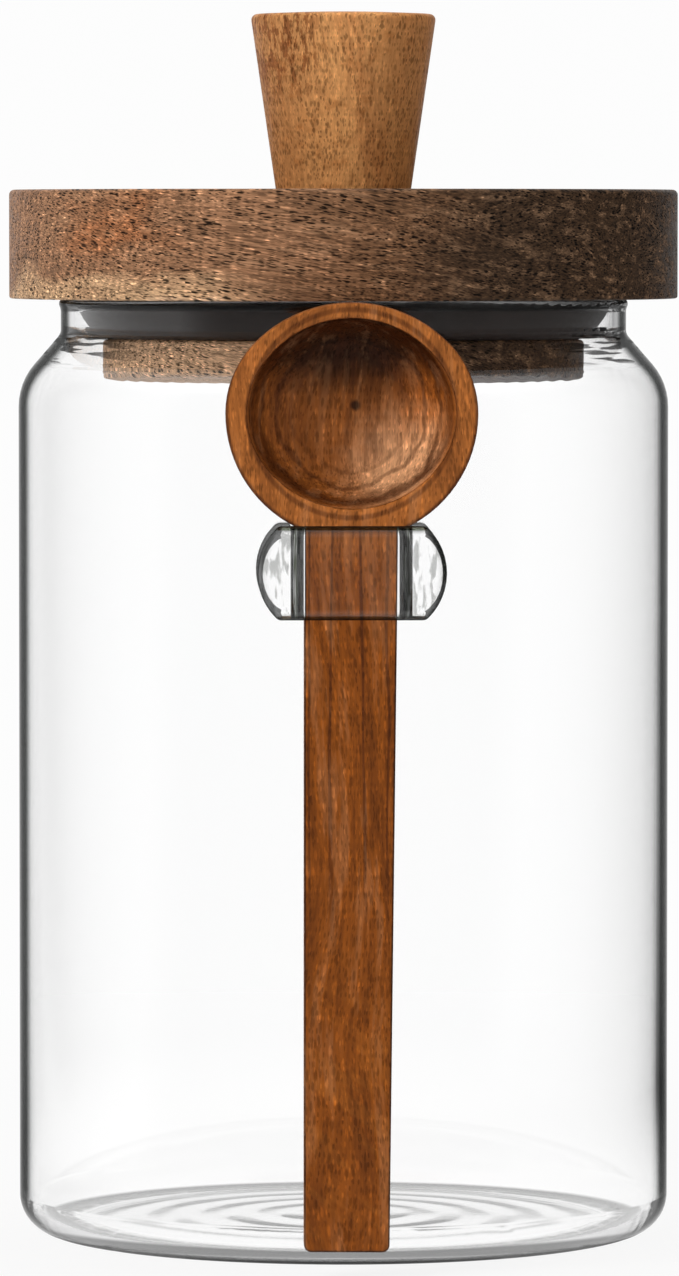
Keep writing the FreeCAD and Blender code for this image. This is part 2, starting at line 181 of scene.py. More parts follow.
class JarStudioSettings(bpy.types.PropertyGroup):
    floor_radius: FloatProperty(
        name="Floor Radius", description="Radius of the studio floor", default=2.0, min=0.5, unit="LENGTH"
    )
    floor_colour: colour_setting("Floor", "Colour of the floor", 243, 242, 242)
    floor_glow: FloatProperty(
        name="Floor Glow", description="Share of the seen floor that is even light", default=0.86, subtype="FACTOR"
    )
    floor_reach: FloatProperty(
        name="Floor Reach", description="Where the floor stops taking shadow", default=0.4, unit="LENGTH"
    )
    key_power: FloatProperty(name="Key", description="Power of the large lamp on the left", default=18.0, unit="POWER")
    fill_power: FloatProperty(name="Fill", description="Power of the lamp on the right", default=5.0, unit="POWER")
    top_power: FloatProperty(name="Top", description="Power of the lamp overhead", default=6.0, unit="POWER")
    ambient: FloatProperty(name="Ambient", description="Strength of the studio's own soft light", default=0.28, min=0.0)
    camera_distance: FloatProperty(
        name="Camera Distance", description="Camera to the jar's axis, on plan", default=1.287, unit="LENGTH"
    )
    camera_height: FloatProperty(
        name="Camera Height", description="Height of the camera above the floor", default=0.1563, unit="LENGTH"
    )
    camera_turn: FloatProperty(
        name="Camera Turn",
        description="How far the camera stands to the left of the spoon's side",
        default=math.radians(1.14),
        subtype="ANGLE",
    )
    camera_tilt: FloatProperty(
        name="Camera Tilt", description="How far the camera looks down", default=math.radians(2.88), subtype="ANGLE"
    )
    camera_pan: FloatProperty(
        name="Camera Pan", description="How far the camera looks past the jar's axis", default=0.0006, unit="LENGTH"
    )
    lens: FloatProperty(name="Lens", description="Focal length, on a 36 mm sensor", default=235.7, unit="CAMERA")


class JarSettings(bpy.types.PropertyGroup):
    glass: PointerProperty(type=JarGlassSettings)
    lid: PointerProperty(type=JarLidSettings)
    knob: PointerProperty(type=JarKnobSettings)
    spoon: PointerProperty(type=JarSpoonSettings)
    seal: PointerProperty(type=JarSealSettings)
    studio: PointerProperty(type=JarStudioSettings)


# ---------------------------------------------------------------- node helpers


class Nodes:
    """Adds nodes to a tree. An input given as a socket is linked, and a plain value is set."""

    STEP = 190

    def __init__(self, tree):
        self.tree = tree
        self.count = 0

    def feed(self, socket, value):
        if isinstance(value, bpy.types.NodeSocket):
            self.tree.links.new(value, socket)
        elif isinstance(value, tuple) and len(value) == 3 and len(getattr(socket, "default_value", ())) == 4:
            socket.default_value = (*value, 1.0)
        else:
            socket.default_value = value

    def add(self, kind, inputs=None, **settings):
        node = self.tree.nodes.new(kind)
        node.location = (self.STEP * (self.count % 8), -self.STEP * (self.count // 8))
        self.count += 1
        for name, value in settings.items():
            setattr(node, name, value)
        for name, value in (inputs or {}).items():
            self.feed(node.inputs[name], value)
        return node

    def math(self, operation, first, second=0.0):
        return self.add("ShaderNodeMath", {0: first, 1: second}, operation=operation).outputs[0]

    def product(self, *factors):
        total = factors[0]
        for factor in factors[1:]:
            total = self.math("MULTIPLY", total, factor)
        return total

    def vector(self, operation, first, second):
        return self.add("ShaderNodeVectorMath", {0: first, 1: second}, operation=operation).outputs[0]

    def length(self, vector):
        return self.add("ShaderNodeVectorMath", {0: vector}, operation="LENGTH").outputs["Value"]

    def spread(self, value, low, high, start=0.0, end=1.0):
        """A value between low and high, spread smoothly over start to end and held there outside."""
        inputs = {"Value": value, "From Min": low, "From Max": high, "To Min": start, "To Max": end}
        return self.add("ShaderNodeMapRange", inputs, interpolation_type="SMOOTHSTEP").outputs["Result"]

    def near(self, value, middle, outer, inner, end=1.0):
        """Up to end where a value is within inner of the middle, fading to nothing at outer."""
        apart = self.math("ABSOLUTE", self.math("SUBTRACT", value, middle))
        return self.spread(apart, outer, inner, 0.0, end)

    def mix(self, share, first, second, blend="MIX"):
        inputs = {0: share, 6: first, 7: second}
        return self.add("ShaderNodeMix", inputs, data_type="RGBA", blend_type=blend).outputs[2]

    def blend(self, share, first, second):
        """Between two numbers."""
        return self.add("ShaderNodeMix", {0: share, 2: first, 3: second}, data_type="FLOAT").outputs[0]

    def shaders(self, share, first, second):
        """Between two shaders."""
        return self.add("ShaderNodeMixShader", {0: share, 1: first, 2: second}).outputs[0]

    def noise(self, vector, scale=1.0, detail=2.0, roughness=0.5, output="Fac"):
        inputs = {"Vector": vector, "Scale": scale, "Detail": detail, "Roughness": roughness}
        return self.add("ShaderNodeTexNoise", inputs).outputs[output]

    def wander(self, own, scale, push):
        """Coordinates that a slow noise pushes about."""
        noise = self.noise(self.vector("MULTIPLY", own, scale), 1.0, 3.0, 0.6, "Color")
        noise = self.vector("MULTIPLY", self.vector("SUBTRACT", noise, (0.5, 0.5, 0.5)), push)
        return self.vector("ADD", own, noise)

    def place(self, turn=(0.0, 0.0, 0.0), shift=(0.0, 0.0, 0.0)):
        """The piece's own coordinates in millimetres, shifted and then turned."""
        own = self.add("ShaderNodeTexCoord").outputs["Object"]
        inputs = {"Vector": own, "Location": shift, "Rotation": turn, "Scale": (PER_MM,) * 3}
        return self.add("ShaderNodeMapping", inputs).outputs[0]

    def split(self, vector):
        return self.add("ShaderNodeSeparateXYZ", {0: vector}).outputs

    def join(self, across, along, up):
        return self.add("ShaderNodeCombineXYZ", {0: across, 1: along, 2: up}).outputs[0]


def new_material(name):
    """An empty node material and its nodes."""
    material = bpy.data.materials.new(name)
    material.use_nodes = True
    material.node_tree.nodes.clear()
    return material, Nodes(material.node_tree)


def finish_material(nodes, shader):
    nodes.add("ShaderNodeOutputMaterial", {"Surface": shader})


def group_sockets(tree, inputs, outputs):
    """Names a group's inputs and outputs."""
    for name, kind, default in inputs:
        socket = tree.interface.new_socket(name, in_out="INPUT", socket_type=kind)
        if default is not None:
            socket.default_value = default
    for name, kind in outputs:
        tree.interface.new_socket(name, in_out="OUTPUT", socket_type=kind)


# ---------------------------------------------------------------- wood


def wood_group():
    """Oiled acacia as a solid pattern in millimetres with its grain along X: figure, fibres, pores and flecks."""
    tree = bpy.data.node_groups.get("Acacia")
    if tree:
        return tree
    tree = bpy.data.node_groups.new("Acacia", "ShaderNodeTree")
    group_sockets(
        tree,
        [
            ("Vector", "NodeSocketVector", None),
            ("Base", "NodeSocketColor", (0.5, 0.3, 0.15, 1.0)),
            ("Pale", "NodeSocketColor", (0.6, 0.4, 0.2, 1.0)),
            ("Dark", "NodeSocketColor", (0.2, 0.1, 0.05, 1.0)),
            ("Figure Width", "NodeSocketFloat", 4.0),
            ("Figure Contrast", "NodeSocketFloat", 0.6),
            ("Pore Length", "NodeSocketFloat", 4.0),
            ("Pore Spacing", "NodeSocketFloat", 0.9),
            ("Pore Depth", "NodeSocketFloat", 0.5),
            ("Fleck", "NodeSocketFloat", 0.25),
            ("Fibre", "NodeSocketFloat", 0.16),
        ],
        [("Color", "NodeSocketColor"), ("Height", "NodeSocketFloat"), ("Roughness", "NodeSocketFloat")],
    )
    nodes = Nodes(tree)
    given = nodes.add("NodeGroupInput").outputs

    # the grain wanders a little
    drift = nodes.noise(nodes.vector("MULTIPLY", given["Vector"], (0.02, 0.05, 0.05)), 1.0, 1.0, output="Color")
    drift = nodes.vector("MULTIPLY", nodes.vector("SUBTRACT", drift, (0.5, 0.5, 0.5)), (0.0, 9.0, 9.0))
    grain = nodes.vector("ADD", given["Vector"], drift)

    # broad bands of paler and darker growth
    narrow = nodes.math("DIVIDE", 1.0, given["Figure Width"])
    bands = nodes.vector("MULTIPLY", grain, nodes.join(nodes.math("MULTIPLY", narrow, 0.09), narrow, narrow))
    figure = nodes.spread(nodes.noise(bands, 1.0, 4.0, 0.6), 0.3, 0.7)
    strength = given["Figure Contrast"]
    darker = nodes.math("MULTIPLY", nodes.spread(figure, 0.5, 0.0), strength)
    paler = nodes.math("MULTIPLY", nodes.spread(figure, 0.5, 1.0), strength)
    colour = nodes.mix(darker, given["Base"], given["Dark"])
    colour = nodes.mix(paler, colour, given["Pale"])

    # thin dark lines that follow the bands
    line = nodes.near(figure, 0.36, 0.035, 0.0, 0.45)
    colour = nodes.mix(line, colour, given["Dark"])

    # fibres
    fibre = nodes.noise(nodes.vector("MULTIPLY", grain, (0.16, 1.7, 1.7)), 1.0, 4.0, 0.7)
    fibre_share = nodes.product(nodes.spread(fibre, 0.35, 0.65, -1.0, 1.0), given["Fibre"])
    lit = nodes.math("ADD", fibre_share, 1.0)

    # pores cut along the grain with pale flecks between them, a coarse set and a fine one
    crowd = nodes.spread(nodes.noise(nodes.vector("MULTIPLY", grain, (0.05, 0.16, 0.16)), 1.0, 2.0), 0.28, 0.55, 0.4)
    is_pore = 0.0
    for share in (1.0, 0.52):
        long_step = nodes.math("DIVIDE", 1.0 / share, given["Pore Length"])
        step = nodes.math("DIVIDE", 1.0 / share, given["Pore Spacing"])
        cells = nodes.vector("MULTIPLY", grain, nodes.join(long_step, step, step))
        cell = nodes.add("ShaderNodeTexVoronoi", {"Vector": cells, "Scale": 1.0, "Randomness": 1.0})
        kind = nodes.split(cell.outputs["Color"])[0]
        spot = nodes.spread(cell.outputs["Distance"], 0.46, 0.24)
        pore = nodes.product(spot, nodes.spread(kind, 0.36, 0.5), crowd)
        fleck = nodes.product(spot, nodes.spread(kind, 0.34, 0.14), given["Fleck"])
        is_pore = nodes.math("MAXIMUM", is_pore, pore)
        lit = nodes.math("MULTIPLY", lit, nodes.math("ADD", fleck, 1.0))
    pore_loss = nodes.math("MULTIPLY", is_pore, given["Pore Depth"])
    lit = nodes.math("MULTIPLY", lit, nodes.math("SUBTRACT", 1.0, pore_loss))
    shade = nodes.join(lit, lit, lit)
    colour = nodes.mix(1.0, colour, shade, "MULTIPLY")

    height = nodes.math("SUBTRACT", nodes.math("MULTIPLY", fibre, 0.5), is_pore)
    rough = nodes.math("ADD", nodes.spread(figure, 0.0, 1.0, 0.42, 0.54), nodes.math("MULTIPLY", is_pore, 0.25))
    nodes.add("NodeGroupOutput", {"Color": colour, "Height": height, "Roughness": rough})
    return tree


def wood_shader(nodes, vector, base, pale, dark, relief=0.06, **amounts):
    """The shared wood pattern on a surface: its colour, its pores in relief and a satin oil finish.

    The amounts are the group's own inputs, and relief is the depth of the pores in millimetres."""
    inputs = {"Vector": vector, "Base": base, "Pale": pale, "Dark": dark, **amounts}
    group = nodes.tree.nodes.new("ShaderNodeGroup")
    group.node_tree = wood_group()
    for name, value in inputs.items():
        nodes.feed(group.inputs[name], value)
    bump = nodes.add(
        "ShaderNodeBump", {"Height": group.outputs["Height"], "Strength": 0.6, "Distance": relief * MM}
    )
    shader = nodes.add(
        "ShaderNodeBsdfPrincipled",
        {
            "Base Color": group.outputs["Color"],
            "Roughness": group.outputs["Roughness"],
            "Normal": bump.outputs[0],
            "Specular IOR Level": 0.14,
        },
    )
    return shader.outputs[0]


def lid_wood(settings):
    """Lid: tan sapwood on the left runs into dark heartwood on the right, darkened further there by painted shade, with
    an orange patch on the left.
    """
    material, nodes = new_material("Lid Acacia")
    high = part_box("lid")[1] * PER_MM
    radius, thickness = high.x, settings.disc_thickness * PER_MM
    middle_up = high.z - thickness / 2
    across, _, up = nodes.split(nodes.wander(nodes.place(), (0.05, 0.05, 0.12), (26.0, 26.0, 14.0)))
    # tan to brown to dark from left to right: sapwood into heartwood, with painted shade on the right side
    brown = nodes.spread(across, radius * -0.36, radius * 0.1)
    dark = nodes.spread(across, radius * 0.0, radius * 0.42)
    colour = nodes.mix(brown, tuple(settings.tan), tuple(settings.brown))
    colour = nodes.mix(dark, colour, tuple(settings.dark))

    # a warm patch with growth rings round it
    patch = nodes.join(
        nodes.math("DIVIDE", nodes.math("ADD", across, radius * 0.68), 11.0),
        0.0,
        nodes.math("DIVIDE", nodes.math("SUBTRACT", up, middle_up + 3.0), 5.0),
    )
    patch_reach = nodes.length(patch)
    colour = nodes.mix(nodes.spread(patch_reach, 1.2, 0.3, 0.0, 0.6), colour, tuple(settings.orange))
    growth = nodes.spread(nodes.math("SINE", nodes.math("MULTIPLY", patch_reach, 11.0)), 0.2, 0.95)
    growth = nodes.product(growth, nodes.spread(patch_reach, 3.2, 1.2), 0.3)
    colour = nodes.mix(growth, colour, tuple(settings.brown))

    # a cream strip low on the left, with a brown line along its upper edge
    left = nodes.spread(across, radius * -0.1, radius * -0.5)
    sap = nodes.product(nodes.spread(up, middle_up - 3.5, middle_up - 7.5), left, 0.8)
    colour = nodes.mix(sap, colour, tuple(settings.sap))
    left = nodes.spread(across, radius * -0.15, radius * -0.4)
    sap_line = nodes.product(nodes.near(up, middle_up - 4.2, 0.6, 0.1), left, 0.45)
    colour = nodes.mix(sap_line, colour, tuple(settings.brown))

    # painted light: the plug's left, under the disc, is painted pale to lift it out of the disc's shade
    left = nodes.spread(across, radius * 0.2, radius * -0.3)
    below = nodes.spread(up, middle_up - thickness * 0.5, middle_up - thickness * 0.6)
    colour = nodes.mix(nodes.product(below, left, 0.8), colour, tuple(settings.plug_painted_light))

    along_grain = nodes.place(turn=(0.0, math.radians(-8), math.radians(12)))
    shader = wood_shader(
        nodes,
        nodes.vector("MULTIPLY", along_grain, (1.15, 1.15, 2.3)),
        colour,
        nodes.mix(0.5, colour, tuple(settings.pale)),
        nodes.mix(0.6, colour, tuple(settings.dark)),
        **{
            "Figure Width": 2.6,
            "Figure Contrast": 0.45,
            "Pore Length": 2.6,
            "Pore Spacing": 0.9,
            "Pore Depth": 0.95,
            "Fleck": 0.95,
            "Fibre": 0.42,
        },
    )
    finish_material(nodes, shader)
    return material


def knob_wood(settings):
    """Knob: upright golden grain, redder on the right, partly painted shade, with a leaning streak and dark flecks."""
    material, nodes = new_material("Knob Acacia")
    low, high = (corner * PER_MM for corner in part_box("knob"))
    middle_up = (low.z + high.z) / 2
    own = nodes.place()
    own_across, _, up = nodes.split(own)
    across = nodes.split(nodes.wander(own, (0.12, 0.12, 0.04), (7.0, 7.0, 0.0)))[0]
    # golden on the left and redder on the right: wood colour, and painted shade on the right side
    colour = nodes.mix(nodes.spread(across, -9.0, 2.0), tuple(settings.pale), tuple(settings.middle))
    colour = nodes.mix(nodes.spread(across, 1.0, 10.0, 0.0, 0.6), colour, tuple(settings.red))

    # a broken streak that leans to the left as it rises
    dotted = nodes.noise(nodes.vector("MULTIPLY", own, (1.1, 1.1, 0.35)), 1.0, 3.0, 0.7)
    lean = nodes.math("MULTIPLY", nodes.math("SUBTRACT", up, middle_up), 0.19)
    streak = nodes.near(nodes.math("ADD", own_across, lean), 2.8, 4.2, 0.4)
    streak = nodes.product(streak, nodes.spread(dotted, 0.3, 0.62, 0.35, 1.0), 0.42)
    colour = nodes.mix(streak, colour, tuple(settings.streak))

    # curled red clouds, and flecks high on the left
    curl = nodes.noise(nodes.vector("MULTIPLY", own, (0.3, 0.3, 0.42)), 1.0, 3.0, 0.6)
    colour = nodes.mix(nodes.spread(curl, 0.5, 0.3, 0.0, 0.4), colour, tuple(settings.red))
    flecks = nodes.noise(nodes.vector("MULTIPLY", own, (0.95, 0.95, 0.42)), 1.0, 3.0, 0.65)
    flecks = nodes.product(
        nodes.spread(flecks, 0.49, 0.56),
        nodes.spread(own_across, -1.0, -7.0),
        nodes.spread(up, middle_up - 4.0, high.z - 8.0),
        0.7,
    )
    colour = nodes.mix(flecks, colour, tuple(settings.fleck))

    shader = wood_shader(
        nodes,
        nodes.place(turn=(0.0, math.radians(90), 0.0)),
        colour,
        nodes.mix(0.4, colour, tuple(settings.pale)),
        nodes.mix(0.55, colour, tuple(settings.red)),
        **{
            "Figure Width": 1.9,
            "Figure Contrast": 0.24,
            "Pore Length": 1.6,
            "Pore Spacing": 0.52,
            "Pore Depth": 0.5,
            "Fleck": 0.25,
            "Fibre": 0.16,
        },
    )
    finish_material(nodes, shader)
    return material


def spoon_wood(settings):
    """Spoon: reddish grain along the handle, and a bowl whose hollow is darker above, darker wood with painted shade,
    and paler low on the right, a painted highlight.
    """
    material, nodes = new_material("Spoon Acacia")
    low, high = (corner * PER_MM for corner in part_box("spoon"))
    centre_up = high.z - settings.bowl_rise * PER_MM
    cavity, depth = settings.cavity_radius * PER_MM, settings.cavity_depth * PER_MM
    own = nodes.place(shift=(0.0, -low.y, -centre_up))
    across, back, up = nodes.split(own)
    aside = nodes.math("ABSOLUTE", across)
    level = nodes.length(nodes.vector("MULTIPLY", own, (1.0, 0.0, 1.0)))
    facing = nodes.split(nodes.add("ShaderNodeNewGeometry").outputs["Normal"])[1]
    hollow = nodes.product(
        nodes.spread(level, cavity, cavity - 1.0),
        nodes.spread(back, 0.1, 0.6),
        nodes.spread(back, depth + 0.6, depth + 0.3),
        nodes.spread(facing, 0.2, 0.1),
    )
    colour = nodes.mix(nodes.spread(up, -12.0, -24.0), tuple(settings.middle), tuple(settings.handle))
    colour = nodes.mix(nodes.math("MULTIPLY", hollow, 0.35), colour, tuple(settings.handle))

    # the hollow: an orange right side, orange wood with painted light, a pale patch low on the right that is a painted
    # highlight, growth rings, and a dark upper half, darker wood with painted shade
    swirl = nodes.noise(own, 0.15, 3.0)
    sway = nodes.math("MULTIPLY", swirl, 6.0)
    # painted light: the hollow's right side turns a brighter orange
    warm_wood_and_painted_light = nodes.product(hollow, nodes.spread(nodes.math("ADD", across, sway), 7.0, 14.0))
    colour = nodes.mix(warm_wood_and_painted_light, colour, tuple(settings.warm_wood_and_painted_light))
    # painted highlight: a pale patch low on the hollow's right
    patch = nodes.length(nodes.vector("SUBTRACT", own, (8.5, depth - 2.0, -8.5)))
    patch = nodes.math("ADD", patch, nodes.math("MULTIPLY", nodes.noise(own, 0.4, 4.0), 6.0))
    patch = nodes.product(hollow, nodes.spread(patch, 16.0, 5.0, 0.0, 0.85))
    colour = nodes.mix(patch, colour, tuple(settings.pale))
    rings = nodes.math("ADD", nodes.math("MULTIPLY", level, 2.6), nodes.math("MULTIPLY", swirl, 9.0))
    rings = nodes.spread(nodes.math("SINE", rings), 0.3, 1.0)
    rings = nodes.product(rings, hollow, nodes.spread(level, 6.0, 12.0), 0.6)
    colour = nodes.mix(rings, colour, tuple(settings.dark))
    # painted shade on the hollow's upper half, over darker wood
    dark_wood_and_painted_shade = nodes.product(hollow, nodes.spread(nodes.math("ADD", up, sway), 2.0, 13.0, 0.0, 0.92))
    colour = nodes.mix(dark_wood_and_painted_shade, colour, DARKEST_WOOD_AND_SHADE)

    # dark lines on the bowl's brim, and painted shade on its outline and on the rounded front edges, which turn aside
    brim = nodes.product(nodes.near(level, cavity - 0.1, 0.6, 0.15, 0.6), nodes.spread(back, 1.5, 1.0))
    clear_of_handle = nodes.math("MAXIMUM", nodes.spread(up, -15.0, -14.0), nodes.spread(aside, 7.5, 8.0))
    outline = nodes.product(
        nodes.spread(level, high.x - 0.7, high.x - 0.2, 0.0, 0.8),
        clear_of_handle,
        nodes.spread(up, -19.0, -18.0),
    )
    colour = nodes.mix(nodes.math("MAXIMUM", brim, outline), colour, tuple(settings.dark))
    corner = nodes.spread(facing, -0.1, -0.35)
    rounding = nodes.product(nodes.spread(facing, -0.8, -0.4, 0.0, 0.75), corner)
    colour = nodes.mix(rounding, colour, tuple(settings.dark))
    # painted shade on the handle's rounded front edges
    handle_edge_painted_shade = nodes.spread(facing, -0.98, -0.8, 0.0, 0.8)
    handle_edge_painted_shade = nodes.product(handle_edge_painted_shade, nodes.spread(up, -15.0, -18.0), corner)
    colour = nodes.mix(handle_edge_painted_shade, colour, DARKEST_WOOD_AND_SHADE)

    # the handle: a slanting flame low down and long dark lines high up
    slant = nodes.vector("MULTIPLY", nodes.place(turn=(0.0, math.radians(52), 0.0)), (0.5, 0.5, 0.09))
    flame = nodes.spread(nodes.noise(slant, 1.0, 3.0, 0.6), 0.45, 0.6)
    flame = nodes.product(flame, nodes.spread(up, -70.0, -100.0), 0.15)
    colour = nodes.mix(flame, colour, tuple(settings.flame))
    drift = nodes.noise(nodes.vector("MULTIPLY", own, (0.1, 0.1, 0.014)), 1.0, 2.0)
    lines = nodes.math("ADD", across, nodes.math("MULTIPLY", drift, 6.0))
    lines = nodes.spread(nodes.math("SINE", nodes.math("MULTIPLY", lines, 1.7)), 0.9, 0.99)
    lines = nodes.product(lines, nodes.spread(up, -85.0, -60.0), nodes.spread(up, -14.0, -20.0, 0.0, 0.7))
    colour = nodes.mix(lines, colour, tuple(settings.dark))

    # the small dark mark where the turning ended
    pip = nodes.length(nodes.vector("SUBTRACT", own, (0.7, depth, 1.0)))
    colour = nodes.mix(nodes.spread(pip, 1.1, 0.4, 0.0, 0.9), colour, DARKEST_WOOD_AND_SHADE)

    shader = wood_shader(
        nodes,
        nodes.place(turn=(0.0, math.radians(90), 0.0)),
        colour,
        nodes.mix(0.18, colour, tuple(settings.pale)),
        nodes.mix(0.75, colour, tuple(settings.dark)),
        **{
            "Figure Width": 2.3,
            "Figure Contrast": 0.55,
            "Pore Length": 2.4,
            "Pore Spacing": 0.6,
            "Pore Depth": 0.34,
            "Fleck": 0.45,
            "Fibre": 0.16,
        },
    )
    finish_material(nodes, shader)
    return material


# ---------------------------------------------------------------- glass and silicone


def clear_glass(settings):
    """Clear glass, with painted shade for its dark edges, foot ring, shoulder lines, lip under the lid and loop
    streaks. Its shadow is thin, because shadow rays and soft light pass straight through.
    """
    material, nodes = new_material("Borosilicate Glass")
    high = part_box("jar")[1] * PER_MM
    own = nodes.place()
    across, along, up = nodes.split(own)
    from_axis = nodes.vector("MULTIPLY", own, (1.0, 1.0, 0.0))
    reach = nodes.length(from_axis)

    # slow ripples in the wall and rings in the base
    ripple = nodes.noise(nodes.vector("MULTIPLY", own, (0.05, 0.05, 0.02)), 1.0, 1.0)
    rings = nodes.product(nodes.math("SINE", nodes.math("MULTIPLY", reach, 0.75)), nodes.spread(up, 6.0, 3.0, 0.0, 0.5))
    bump = nodes.add(
        "ShaderNodeBump", {"Height": nodes.math("ADD", ripple, rings), "Strength": 0.12, "Distance": 0.4 * MM}
    )

    # painted shade: the outside of the wall is painted dark where the eye looks along it, less so at the foot, in place
    # of the dark refraction there
    normal = nodes.add("ShaderNodeNewGeometry").outputs["Normal"]
    outward = nodes.add("ShaderNodeVectorMath", {0: from_axis, 1: normal}, operation="DOT_PRODUCT").outputs["Value"]
    outward = nodes.math("GREATER_THAN", nodes.math("DIVIDE", outward, reach), 0.3)
    outward = nodes.product(outward, nodes.spread(up, 0.5, 8.0, 0.2, 1.0))
    grazing = nodes.add("ShaderNodeLayerWeight", {"Blend": 0.5}).outputs["Facing"]
    edge = nodes.product(nodes.spread(grazing, 0.68, 0.8), outward)
    painted_dark_share = nodes.product(nodes.spread(grazing, 0.73, 0.81), nodes.spread(grazing, 1.0, 0.84, 0.5, 1.0), outward)

    # painted shade: a dark ring under the foot and thin lines where the shoulder leaves the neck, in place of dark
    # refraction, and a dark lip under the lid as a painted contact shadow
    foot = nodes.product(nodes.spread(up, 1.3, 0.6, 0.0, 0.8), nodes.spread(reach, high.x - 8.5, high.x - 7.0))
    lines = nodes.spread(nodes.noise(nodes.vector("MULTIPLY", own, (0.1, 0.1, 1.6)), 1.0, 1.0), 0.48, 0.56)
    shoulder = nodes.near(up, high.z - 7.4, 2.6, 1.8)
    lines = nodes.product(lines, nodes.spread(grazing, 0.4, 0.6), shoulder, outward)
    painted_lip_shadow = nodes.spread(up, high.z - 1.7, high.z - 1.1, 0.0, 0.62)

    # painted shade in the solid loop: dark streaks and rims in place of its dark refraction
    in_loop = nodes.math("LESS_THAN", along, -high.x - 0.4)
    turned, _, tilted = nodes.split(nodes.add("ShaderNodeVectorMath", {0: normal}, operation="ABSOLUTE").outputs[0])
    swirl = nodes.noise(nodes.vector("MULTIPLY", own, (0.75, 0.75, 0.22)), 1.0, 2.0)
    sides = nodes.product(nodes.spread(turned, 0.25, 0.8), nodes.spread(swirl, 0.35, 0.6, 0.5, 1.0))
    cheeks = nodes.spread(nodes.math("ABSOLUTE", across), 8.4, 9.2)
    cheeks = nodes.product(nodes.spread(swirl, 0.47, 0.56, 0.0, 0.72), cheeks)
    painted_loop_streaks = nodes.math("MAXIMUM", nodes.math("MAXIMUM", sides, cheeks), nodes.spread(tilted, 0.4, 0.8))
    colour = nodes.mix(nodes.product(in_loop, painted_loop_streaks), tuple(settings.tint), tuple(settings.painted_loop_tint))
    colour = nodes.mix(edge, colour, tuple(settings.painted_edge_tint))
    painted_loop_rims = nodes.product(in_loop, nodes.spread(grazing, 0.42, 0.7, 0.0, 0.9))
    for dark in (foot, lines, painted_lip_shadow, painted_loop_rims):
        painted_dark_share = nodes.math("MAXIMUM", painted_dark_share, dark)

    glass = nodes.add(
        "ShaderNodeBsdfPrincipled",
        {
            "Base Color": colour,
            "Roughness": 0.0,
            "IOR": settings.ior,
            "Transmission Weight": 1.0,
            "Normal": bump.outputs[0],
        },
    )
    # the painted dark: a near-black matt surface mixed into the glass by the masks above
    painted_dark_surface = nodes.add("ShaderNodeBsdfDiffuse", {"Color": PAINTED_GLASS_DARK})
    wall = nodes.shaders(nodes.math("MULTIPLY", painted_dark_share, settings.painted_edge_dark), glass.outputs[0], painted_dark_surface.outputs[0])
    passed = nodes.add("ShaderNodeBsdfTransparent", {"Color": (settings.shadow_tint,) * 3})
    path = nodes.add("ShaderNodeLightPath").outputs
    soft = nodes.math("MAXIMUM", path["Is Shadow Ray"], path["Is Diffuse Ray"])
    finish_material(nodes, nodes.shaders(soft, wall, passed.outputs[0]))
    return material


def silicone(settings):
    """Dark matt silicone with faint moulding rings and a little dust."""
    material, nodes = new_material("Dark Silicone")
    own = nodes.place()
    rings = nodes.math("SINE", nodes.math("MULTIPLY", nodes.split(own)[2], 9.0))
    dust = nodes.noise(own, 1.4, 4.0, 0.7)
    colour = nodes.mix(nodes.spread(dust, 0.4, 0.75, 0.0, 0.12), tuple(settings.colour), tuple(settings.dust))
    bump = nodes.add("ShaderNodeBump", {"Height": rings, "Strength": 0.1, "Distance": 0.01 * MM})
    shader = nodes.add(
        "ShaderNodeBsdfPrincipled",
        {
            "Base Color": colour,
            "Specular IOR Level": 0.15,
            "Roughness": nodes.spread(dust, 0.3, 0.7, 0.45, 0.6),
            "Normal": bump.outputs[0],
        },
    )
    finish_material(nodes, shader.outputs[0])
    return material


# ---------------------------------------------------------------- turned pieces


